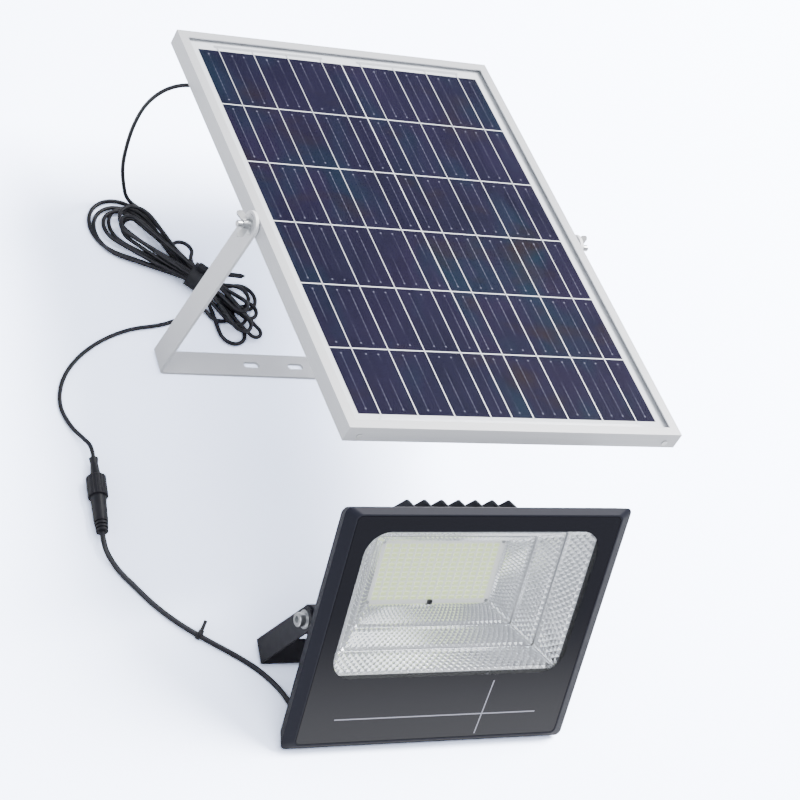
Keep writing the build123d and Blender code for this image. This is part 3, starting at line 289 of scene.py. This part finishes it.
def cell_look():
    """Dark multicrystalline cells: grains, fine fingers and faint dashed seams with end dots."""
    look = Look("solar_cell", (0.02, 0.02, 0.05), 0.42, specular=0.04)
    (x, v, _), vector = look.local(PANEL_ORIGIN, PANEL_TURN)
    x, v = x * 1000.0, v * 1000.0
    row = (v / CELL_PITCH).floor()
    half = (x / CELL_WIDTH).floor()
    from_middle = ((x / CELL_WIDTH).fract() - 0.5) * float(CELL_WIDTH)
    per_cell = ((row * 12.9898 + half * 78.233).op("SINE") * 43.7585).fract()
    grains = Field(look.tree, look.voronoi(85, look.stretched(vector, (1.0, 0.3, 1.0)), "Color"))
    flecks = look.noise(620, 2.0, vector)
    broad = look.noise(7, 2.0, vector)
    teal = look.noise(11, 2.0, look.stretched(vector, (1.3, 0.8, 1.0)))
    warm = look.noise(15, 2.0, look.stretched(vector, (0.9, 1.4, 1.0)))
    base = look.mix((broad - 0.3) * 2.5, (0.0025, 0.003, 0.013), (0.010, 0.005, 0.022))
    base = look.mix((teal - 0.5) * 5.0, base, (0.0015, 0.012, 0.024))
    base = look.mix((warm - 0.55) * 5.0, base, (0.013, 0.007, 0.008))
    base = look.mix(per_cell * 0.30, base, (0.005, 0.004, 0.020))
    base = look.mix(grains * 0.12, base, (0.030, 0.024, 0.070))
    base = look.mix((flecks - 0.5) * 0.9, base, (0.040, 0.036, 0.085))
    # Two faint seams between neighbouring busbars, and a dot near each of their ends.
    in_cell_x = from_middle.abs().below(CELL_WIDTH / 2 - 8.0, 0.5)
    seams = stripe(from_middle, SEAM_PITCH, SEAM_WIDTH) * in_cell_x
    in_cell = ((v / CELL_PITCH).fract() - 0.5).abs() * float(CELL_PITCH)
    inside = in_cell.below(SEAM_HALF_LENGTH, 0.5)
    dash = ((v / DASH_PITCH).fract() - 0.5).abs().below(0.30, 0.2) * 0.6 + 0.4
    fade = (look.noise(26, 1.0, vector) - 0.32).op("MULTIPLY", 3.0, clamp=True)
    dot_ends = (in_cell - DOT_PLACE).abs().below(0.7, 0.4)
    dots = stripe(from_middle, SEAM_PITCH, 1.5) * dot_ends * in_cell_x
    fingers = stripe(v, FINGER_PITCH, 0.18)
    marks = (seams * dash * inside * fade * 0.28).max(dots * 0.32).max(fingers * 0.02)
    look.link(look.mix(marks, base, (0.50, 0.50, 0.66)), look.shader.inputs["Base Color"])
    look.roughen(grains, 0.38, 0.50)
    look.bump(grains, 0.00002)
    return look


cell_look().on("solar_cells")


def clear_look(name, tint, gloss, facing_shine):
    """Clear glass that can be seen straight through, and mirrors more towards grazing angles."""
    look = Look(name, tint, 0.05)
    clear = look.tree.nodes.new("ShaderNodeBsdfTransparent")
    clear.inputs["Color"].default_value = (*tint, 1)
    shine = look.tree.nodes.new("ShaderNodeBsdfGlossy")
    shine.inputs["Roughness"].default_value = gloss
    weight = look.tree.nodes.new("ShaderNodeLayerWeight")
    grazing = Field(look.tree, weight.outputs["Facing"]).op("POWER", 5.0)
    return look, clear, shine, grazing * 0.96 + facing_shine


def panel_glass_look():
    look, clear, shine, mirror = clear_look("panel_glass", (0.985, 0.99, 0.995), 0.06, 0.004)
    ripple = look.noise(420, 2.0)
    bump = look.tree.nodes.new("ShaderNodeBump")
    bump.inputs["Distance"].default_value = 0.00003
    look.link(ripple, bump.inputs["Height"])
    look.link(bump.outputs[0], shine.inputs["Normal"])
    mixer = look.tree.nodes.new("ShaderNodeMixShader")
    look.link(mirror, mixer.inputs[0])
    look.link(clear.outputs[0], mixer.inputs[1])
    look.link(shine.outputs[0], mixer.inputs[2])
    look.link(mixer.outputs[0], look.output.inputs["Surface"])
    return look


panel_glass_look().on("panel_glass")


def rounded_box(x, y, half_x, half_y, radius):
    """Signed distance to a rounded rectangle, in millimetres."""
    dx = (x.abs() - (half_x - radius)).max(0.0)
    dy = (y.abs() - (half_y - radius)).max(0.0)
    return (dx * dx + dy * dy).op("SQRT") - radius


# The lamp's window and the two rules on its border, in the lamp's own plane and in millimetres.
WINDOW_V = 145
WINDOW_HALF = (123.0, 73.0)
WINDOW_CORNER = 23.0
RULE_MIDDLE, RULE_V, RULE_HALF_LENGTH = 2.0, 30.5, 107.0
SLANT_X, SLANT_V, SLANT_HALF_LENGTH, SLANT_SLOPE = 51.0, 37.5, 28.0, 0.08
RULE_HALF_WIDTH = 0.6


def lamp_glass_look():
    """Clear window inside a black printed border with two thin light rules."""
    look, clear, shine, mirror = clear_look("lamp_glass", (0.99, 0.993, 0.996), 0.03, 0.03)
    (x, v, n), vector = look.local(LAMP_ORIGIN, LAMP_TURN)
    x, v, n = x * 1000.0, v * 1000.0, n * 1000.0
    # The border is printed on the outer face only; the rest of the pane stays clear.
    opening = rounded_box(x, v - float(WINDOW_V), *WINDOW_HALF, WINDOW_CORNER).below(0.0, 0.25)
    window = opening.max(n.below(-0.4, 0.2))
    along = (x - RULE_MIDDLE).abs().below(RULE_HALF_LENGTH, 0.3)
    rule = (v - RULE_V).abs().below(RULE_HALF_WIDTH, 0.3) * along
    slant = (x - SLANT_X - (v - 37.0) * SLANT_SLOPE).abs().below(RULE_HALF_WIDTH, 0.3)
    slant = slant * (v - SLANT_V).abs().below(SLANT_HALF_LENGTH, 0.3)
    mark = rule.max(slant)
    speck = look.noise(2600, 1.0, vector)
    ink = look.mix(speck, (0.005, 0.005, 0.009), (0.008, 0.008, 0.013))
    look.link(look.mix(mark, ink, (0.42, 0.42, 0.50)), look.shader.inputs["Base Color"])
    look.shader.inputs["Roughness"].default_value = 0.10
    look.shader.inputs["Specular IOR Level"].default_value = 0.5
    pane = look.tree.nodes.new("ShaderNodeMixShader")
    look.link(mirror, pane.inputs[0])
    look.link(clear.outputs[0], pane.inputs[1])
    look.link(shine.outputs[0], pane.inputs[2])
    mixer = look.tree.nodes.new("ShaderNodeMixShader")
    look.link(window, mixer.inputs[0])
    look.link(look.shader.outputs[0], mixer.inputs[1])
    look.link(pane.outputs[0], mixer.inputs[2])
    look.link(mixer.outputs[0], look.output.inputs["Surface"])
    return look


lamp_glass_look().on("front_glass")

# Painted light: the board and its chips glow faintly, standing in for the light the bright reflector
# throws back onto them.
board = Look("board_white", (0.93, 0.94, 0.91), 0.4)
board.shader.inputs["Emission Color"].default_value = (0.94, 0.96, 1.0, 1)
board.shader.inputs["Emission Strength"].default_value = 0.55
board.bump(board.noise(800), 0.00003)
board.blotch(200, 0.04)
board.on("led_board")
chip = Look("led_phosphor", (0.86, 0.93, 0.48), 0.35)
# Painted light: the chips' faint glow stands in for reflector light falling on them.
chip.shader.inputs["Emission Color"].default_value = (0.80, 1.0, 0.52, 1)
chip.shader.inputs["Emission Strength"].default_value = 0.75
chip.bump(chip.noise(1800), 0.00005)
chip.blotch(260, 0.08)
chip.on("led_chips")


# ---------------------------------------------------------------- mesh helpers
def mesh_object(name, vertices, faces, smooth=False):
    mesh = bpy.data.meshes.new(name)
    mesh.from_pydata([tuple(v) for v in vertices], [], faces)
    mesh.update()
    if smooth:
        mesh.polygons.foreach_set("use_smooth", [True] * len(mesh.polygons))
    obj = bpy.data.objects.new(name, mesh)
    scene.collection.objects.link(obj)
    return obj


def bevel(width, *names):
    """A small rounded edge on CAD nodes, as a modifier, so their own vertices stay as they are."""
    for name in names:
        modifier = nodes[name].modifiers.new("edge", "BEVEL")
        modifier.width = width
        modifier.segments = 2
        modifier.limit_method = "ANGLE"
        modifier.angle_limit = math.radians(40)
        modifier.harden_normals = True


bevel(0.0003, "frame_rail_left", "frame_rail_right", "frame_rail_far", "frame_rail_near")
bevel(0.0005, "panel_bracket", "lamp_bracket")
bevel(0.0006, "lamp_housing")
bevel(0.0003, "wing_nut_left", "wing_nut_right", "lock_ring", "panel_washers", "lamp_washers")


# ---------------------------------------------------------------- reflector
# Each tier of the reflector: depth and half sizes of its inner and its outer end.
TIERS = (
    ((-59.0, 66.0, 33.0), (-42.6, 84.0, 45.6)),
    ((-42.6, 86.0, 46.8), (-25.6, 103.0, 59.0)),
    ((-25.6, 105.0, 60.2), (-7.0, 123.0, 73.0)),
)
FACETS_ACROSS = 66
FACETS_UP = 40
FACET_ROWS = 8
FACET_HEIGHT = 0.62
CORNER = 2.0
RIM_HALF = (130.0, 77.5)
RIM_DEPTH = -7.0
SHEET_THICKNESS = 0.0008
# The way each wall faces, inwards and up: the side walls, and the walls above and below.
SIDE_FACING = (0.67, 0.74)
END_FACING = (0.79, 0.61)


def mitred_ring(half_x, half_y):
    """Points round a rectangle with small cut corners, the same number for every size."""
    corners = (
        (half_x, -half_y + CORNER), (half_x, half_y - CORNER),
        (half_x - CORNER, half_y), (-half_x + CORNER, half_y),
        (-half_x, half_y - CORNER), (-half_x, -half_y + CORNER),
        (-half_x + CORNER, -half_y), (half_x - CORNER, -half_y),
    )
    points = []
    for index, (here, there) in enumerate(zip(corners, corners[1:] + corners[:1])):
        count = (FACETS_UP, 2, FACETS_ACROSS, 2)[index % 4]
        for k in range(count):
            t = k / count
            raised = count > 2 and k > 0
            x, y = (a + (b - a) * t for a, b in zip(here, there))
            points.append((x, y, raised))
    return points


def reflector():
    """Three tiers of small diamond facets, mitred at the corners, as one thin bright shell."""
    vertices, faces, rings = [], [], []

    def add_ring(depth, half_x, half_y, faceted, row):
        ring = mitred_ring(half_x, half_y)
        rings.append((len(vertices), len(ring), row))
        for index, (x, y, raised) in enumerate(ring):
            lift = 0
            if faceted and raised:
                lift = FACET_HEIGHT if (index + row) % 2 else -FACET_HEIGHT
            if abs(x) / half_x > abs(y) / half_y:
                inward = Vector((-math.copysign(SIDE_FACING[0], x), 0, SIDE_FACING[1]))
            else:
                inward = Vector((0, -math.copysign(END_FACING[0], y), END_FACING[1]))
            vertices.append(LAMP @ ((Vector((x, WINDOW_V + y, depth)) + inward * lift) * MM))

    for low, high in TIERS:
        for row in range(FACET_ROWS + 1):
            t = row / FACET_ROWS
            values = [a + (b - a) * t for a, b in zip(low, high)]
            add_ring(*values, 0 < row < FACET_ROWS, row)
    for (start, count, row), (after, _, _) in zip(rings, rings[1:]):
        for k in range(count):
            a, b = start + k, start + (k + 1) % count
            c, d = after + (k + 1) % count, after + k
            # The crease runs between the two raised corners of each little square.
            if (k + row) % 2:
                faces += [(a, b, c), (a, c, d)]
            else:
                faces += [(a, b, d), (b, c, d)]
    # A flat rim round the top, under the glass.
    start, count, _ = rings[-1]
    outer = len(vertices)
    for x, y, _ in mitred_ring(*RIM_HALF):
        vertices.append(LAMP @ (Vector((x, WINDOW_V + y, RIM_DEPTH)) * MM))
    for k in range(count):
        faces.append((start + k, start + (k + 1) % count, outer + (k + 1) % count, outer + k))
    obj = mesh_object("reflector_shell", vertices, faces)
    solid = obj.modifiers.new("thickness", "SOLIDIFY")
    solid.thickness = SHEET_THICKNESS
    solid.offset = -1
    look = Look("reflector_mirror", (0.97, 0.98, 1.0), 0.16, 0.88)
    look.roughen(look.noise(160), 0.16, 0.26)
    look.bump(look.noise(1500), 0.00002)
    look.on(obj)
    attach(obj, "floodlight")
    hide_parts("reflector")


reflector()

# ---------------------------------------------------------------- cables
PANEL_LEAD_ROUTE = (
    (-54, 193.9, 181.66), (-84, 193.9, 181.66), (-117, 195.2, 179.8), (-150, 194, 178.3),
    (-176, 195.5, 177.2), (-193, 195, 166), (-200, 197, 142), (-197, 200, 108),
    (-189.5, 202, 74), (-181, 203, 44), (-173, 198, 24), (-166, 189, 10),
)
CONNECTOR_LEAD_ROUTE = (
    (-110, 66, 3.5), (-130, 56.5, 2), (-160, 43, 2), (-200, 37, 2), (-243, 16, 2), (-277, -15, 2),
    (-292, -50, 2), (-286, -76, 2.5), (-277, -92, 6), (-272.8, -102.6, 9.4), (-274.5, -115.5, 9.4),
)
LAMP_CABLE_ROUTE = (
    (-141, -375.44, 7.18), (-141, -367.58, 2.65), (-146.5, -353, 2.5), (-160, -335, 2.5),
    (-178, -320, 2.6), (-200, -306.5, 3.9), (-228, -287, 3.9), (-249, -265, 2.6),
    (-264, -244, 2.5), (-275.5, -229, 3), (-284, -214, 7), (-286, -203.5, 9.4),
    (-284.74, -193.44, 9.4),
)
THIN, THICK = 4.0, 5.0
TIE_CENTRE = Vector((-114, 96, 12.3))
ALONG = Vector((-0.77, 0.64, 0)).normalized()
ACROSS = Vector((0.64, 0.77, 0)).normalized()


def hank_point(a, p, z):
    """A point of the coil: a along the bundle from the tie, p across it, z above the floor."""
    point = Vector((TIE_CENTRE.x, TIE_CENTRE.y, 0)) + ALONG * a + ACROSS * p
    return (point.x, point.y, z)


# Where each strand goes through the tie, across it and above its middle.
RIGHT_SLOTS = (
    (6, -3.9), (2, -7.8), (9.9, 0), (2, -3.9), (6, 0), (2, 0), (6, 3.9), (2, 3.9), (2, 7.8),
)
LEFT_SLOTS = ((-2, -7.8), (-6, -3.9), (-2, -3.9), (-9.9, 0), (-6, 0), (-2, 0), (-6, 3.9), (-2, 3.9))
# Loops past the tie: centre along and across the bundle, radius, height of the far end.
UPPER = (
    (88, 8, 34, 2.6), (84, 3, 31, 4.0), (80, 13, 24, 6.0), (87, 4, 20, 8.0),
    (74, 9, 15, 10.0), (26, 19, 11, 12.5), (78, 16, 19, 14.5), (80, 5, 12, 16.5),
)
LOWER = (
    (-58, -27, 14, 2.6), (-48, 19, 15, 4.0), (-76, -12, 7, 5.5), (-51, -10, 12, 7.5),
    (-59, 3, 10, 9.5), (-43, 9, 13, 11.5), (-61, -19, 10, 13.0), (-49, -2, 9, 15.5),
)


LOOP_SWEEP = 210
LOOP_STEPS = 8
TIE_END = 14
FAN = 1.3


def loop(sign, centre_a, centre_p, radius, level, start, end):
    """One loop past the tie: out of one slot, round its far end and back into the other."""
    heading = math.atan2(centre_p, centre_a)
    arc = []
    for k in range(LOOP_STEPS + 1):
        angle = heading + math.radians(LOOP_SWEEP * (k / LOOP_STEPS - 0.5))
        arc.append((centre_a + radius * math.cos(angle), centre_p + radius * math.sin(angle)))
    points = []
    for slot, far, order in ((start, arc[0], (0.35, 0.72)), (end, arc[-1], (0.72, 0.35))):
        leg = []
        for t in order:
            a = sign * TIE_END + (far[0] - sign * TIE_END) * t
            p = slot[0] * FAN + (far[1] - slot[0] * FAN) * t
            z = TIE_CENTRE.z + slot[1] + (level - TIE_CENTRE.z - slot[1]) * t
            leg.append(hank_point(a, p, max(z, THIN / 2 + 0.1)))
        points += leg
        if slot is start:
            points += [hank_point(a, p, level) for a, p in arc]
    return points


def through(slot, sign):
    """A strand passing straight through the tie; sign is its direction along the bundle."""
    z = TIE_CENTRE.z + slot[1]
    return [hank_point(-9 * sign, slot[0], z), hank_point(0, slot[0], z), hank_point(9 * sign, slot[0], z)]


def hank_points():
    """All turns of the coil as one run, from the panel's lead to the connector's lead."""
    points = [
        hank_point(84, 42, 6), hank_point(62, 37, 6), hank_point(40, 25, 7), hank_point(20, 12, 8),
    ]
    for right, left, upper, lower in zip(RIGHT_SLOTS, LEFT_SLOTS, UPPER, LOWER):
        points += through(right, -1)
        points += loop(-1, *lower, right, left)
        points += through(left, 1)
        following = RIGHT_SLOTS[RIGHT_SLOTS.index(right) + 1]
        points += loop(1, *upper, left, following)
    points += through(RIGHT_SLOTS[-1], -1)
    points += [
        hank_point(-24, 6, 14), hank_point(-38, 6, 9), hank_point(-48, -2, 5), hank_point(-50, -14, 3),
        hank_point(-43, -24, 2.4), hank_point(-32, -26, 2.4),
    ]
    return points


def spline_object(name, points, diameter):
    """A cable along one open NURBS spline through points in millimetres."""
    data = bpy.data.curves.new(name, "CURVE")
    data.dimensions = "3D"
    data.resolution_u = 5
    data.bevel_depth = diameter / 2 * MM
    data.bevel_resolution = 3
    data.use_fill_caps = True
    spline = data.splines.new("NURBS")
    spline.points.add(len(points) - 1)
    for place, point in zip(spline.points, points):
        place.co = (point[0] * MM, point[1] * MM, point[2] * MM, 1)
    spline.order_u = 3
    spline.use_endpoint_u = True
    obj = bpy.data.objects.new(name, data)
    scene.collection.objects.link(obj)
    return obj


def tube_object(name, points, diameter):
    """The same cable as a mesh, and the points its middle follows."""
    curve = spline_object(name + "_route", points, diameter)
    curve.data.bevel_depth = 0
    graph = bpy.context.evaluated_depsgraph_get()
    graph.update()
    line = bpy.data.meshes.new_from_object(curve.evaluated_get(graph))
    middle = [tuple(vertex.co) for vertex in line.vertices]
    curve.data.bevel_depth = diameter / 2 * MM
    graph.update()
    mesh = bpy.data.meshes.new_from_object(curve.evaluated_get(graph))
    bpy.data.objects.remove(curve)
    mesh.polygons.foreach_set("use_smooth", [True] * len(mesh.polygons))
    obj = bpy.data.objects.new(name, mesh)
    scene.collection.objects.link(obj)
    return obj, middle


thin_points = list(PANEL_LEAD_ROUTE) + hank_points() + list(CONNECTOR_LEAD_ROUTE)
thin_cable, thin_middle = tube_object("thin_cable", thin_points, THIN)
cord_look.on(thin_cable)
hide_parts("panel_lead", "cable_hank", "connector_lead")
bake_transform(thin_cable)

thick_cable, thick_middle = tube_object("lamp_cable_tube", LAMP_CABLE_ROUTE, THICK)
cord_look.on(thick_cable)
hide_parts("lamp_cable")
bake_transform(thick_cable)

# ---------------------------------------------------------------- floor and light
FLOOR_REACH = 30
FLOOR_DROP = 0.0002
floor_corners = [(x * FLOOR_REACH, y * FLOOR_REACH, 0) for x, y in ((-1, -1), (1, -1), (1, 1), (-1, 1))]
floor = mesh_object("floor", floor_corners, [(0, 1, 2, 3)])
floor.location.z = -FLOOR_DROP
paper = Look("floor", (0.72, 0.73, 0.76), 0.8, specular=0.1)
paper.blotch(2, 0.01)
# Straight views see it brighter than the light it bounces, as an overexposed paper sweep is.
bright = paper.tree.nodes.new("ShaderNodeBsdfDiffuse")
bright.inputs["Color"].default_value = (2.8, 3.05, 3.7, 1)
swap = paper.tree.nodes.new("ShaderNodeMixShader")
paper.link(paper.tree.nodes.new("ShaderNodeLightPath").outputs["Is Camera Ray"], swap.inputs[0])
paper.link(paper.shader.outputs[0], swap.inputs[1])
paper.link(bright.outputs[0], swap.inputs[2])
paper.link(swap.outputs[0], paper.output.inputs["Surface"])
paper.on(floor)

world = bpy.data.worlds.new("world")
scene.world = world
world.use_nodes = True
world.node_tree.nodes["Background"].inputs[0].default_value = (0.86, 0.90, 1.0, 1)
world.node_tree.nodes["Background"].inputs[1].default_value = 0.5


def softbox(name, place, target, size, watts, color):
    data = bpy.data.lights.new(name, "AREA")
    data.shape = "RECTANGLE"
    data.size, data.size_y = size
    data.energy = watts
    data.color = color
    obj = bpy.data.objects.new(name, data)
    scene.collection.objects.link(obj)
    obj.location = place
    direction = Vector(target) - Vector(place)
    obj.rotation_mode = "QUATERNION"
    obj.rotation_quaternion = direction.to_track_quat("-Z", "Y")


softbox("key", (1.6, 0.6, 2.6), (0, -0.1, 0), (1.6, 1.6), 270, (1.0, 0.99, 0.98))
softbox("overhead", (-0.5, -0.5, 3.0), (0, -0.1, 0), (2.0, 2.0), 40, (0.95, 0.97, 1.0))
softbox("side", (-2.6, -0.9, 1.5), (0, -0.1, 0.1), (1.6, 1.6), 20, (0.93, 0.96, 1.0))
